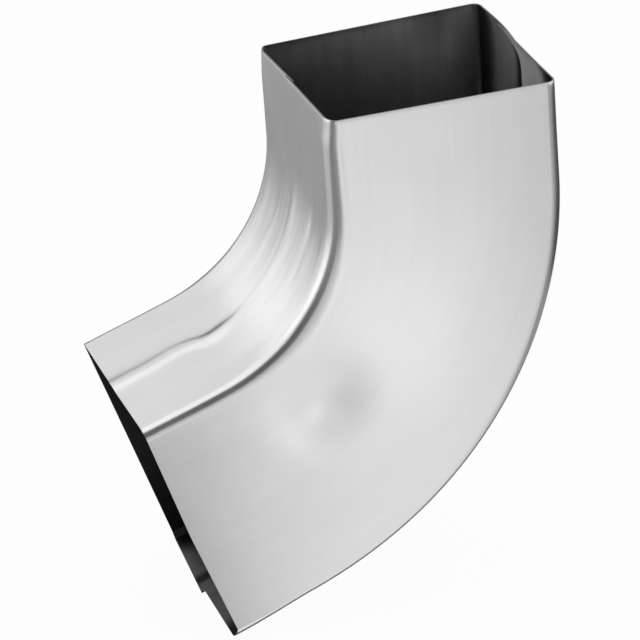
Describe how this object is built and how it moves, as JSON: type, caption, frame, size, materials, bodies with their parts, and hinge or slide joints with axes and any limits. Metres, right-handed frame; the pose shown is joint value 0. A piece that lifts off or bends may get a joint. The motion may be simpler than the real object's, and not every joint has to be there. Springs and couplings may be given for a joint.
{
  "type": "downspout elbow",
  "caption": "Square downspout elbow of galvanised sheet with a smooth radius bend, made of half shells lapped along throat and heel, that turns rainwater from an upright pipe to a sloping run.",
  "frame": {"origin": "centre of the inlet mouth, in the plane of its rim", "axes": "+Z out of the inlet along the upright leg, +X from the throat to the heel, so the outlet turns towards -X; the flat cheeks face -Y and +Y"},
  "size_m": [0.1893, 0.1, 0.2238],
  "materials": {
    "galvanised_sheet": "smooth galvanised sheet, fine rolling lines, light handling dents"
  },
  "bodies": {
    "root": {"front_half_shell": "galvanised_sheet", "back_half_shell": "galvanised_sheet"}
  },
  "joints": []
}
